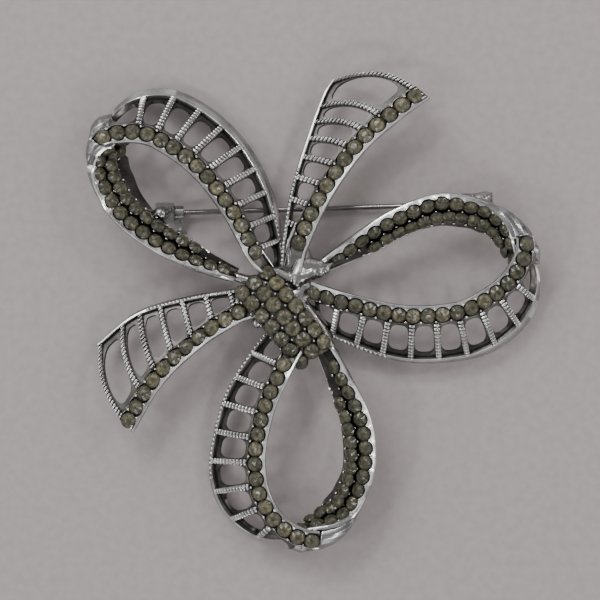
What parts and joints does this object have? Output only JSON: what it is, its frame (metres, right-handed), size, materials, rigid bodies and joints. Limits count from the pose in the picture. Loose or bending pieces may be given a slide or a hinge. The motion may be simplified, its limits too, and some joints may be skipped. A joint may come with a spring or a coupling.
{
  "type": "ribbon bow brooch",
  "caption": "Ribbon-bow brooch with openwork loops and tails, stone-set edges and knot, a hinged pin and a roll-over safety catch.",
  "frame": {"origin": "middle of the footprint, on the surface the brooch rests on, back down", "axes": "+Z out of the stones, +Y towards the top tail, +X towards the right loop and the pin's hinge"},
  "size_m": [0.0568, 0.0604, 0.0078],
  "materials": {
    "gunmetal_casting": "gunmetal-plated zinc alloy, polished, dark in the recesses",
    "smoky_rhinestone": "foiled smoky glass chaton",
    "solder": "plated solder, smooth",
    "fittings": "plated brass findings",
    "pin_wire": "plated spring-steel wire"
  },
  "bodies": {
    "brooch": {"upper_left_loop": "gunmetal_casting", "right_loop": "gunmetal_casting", "bottom_loop": "gunmetal_casting", "top_tail": "gunmetal_casting", "left_tail": "gunmetal_casting", "knot_setting": "gunmetal_casting", "upper_left_front_stones": "smoky_rhinestone", "upper_left_pave_outer_row": "smoky_rhinestone", "upper_left_pave_inner_row": "smoky_rhinestone", "right_front_stones": "smoky_rhinestone", "right_pave_outer_row": "smoky_rhinestone", "right_pave_inner_row": "smoky_rhinestone", "bottom_front_stones": "smoky_rhinestone", "bottom_pave_outer_row": "smoky_rhinestone", "bottom_pave_inner_row": "smoky_rhinestone", "top_tail_stones": "smoky_rhinestone", "left_tail_stones": "smoky_rhinestone", "knot_stones": "smoky_rhinestone", "hub": "solder", "hinge_base": "fittings", "catch_housing": "fittings", "hinge_solder": "solder", "catch_solder": "solder", "hinge_rivet": "pin_wire"},
    "pin": {"pin_stem": "pin_wire"},
    "safety": {"safety_sleeve": "fittings"}
  },
  "joints": [
    {"name": "pin_hinge", "type": "hinge", "parent": "brooch", "child": "pin", "pos_m": [0.02059, 0.01365, 0.0013], "axis": [0.0297, -0.9996, 0], "range_deg": [0, 95]},
    {"name": "safety_turn", "type": "hinge", "parent": "brooch", "child": "safety", "pos_m": [-0.01839, 0.01249, 0.0013], "axis": [-0.9996, -0.0297, 0], "range_deg": [0, 100]}
  ]
}
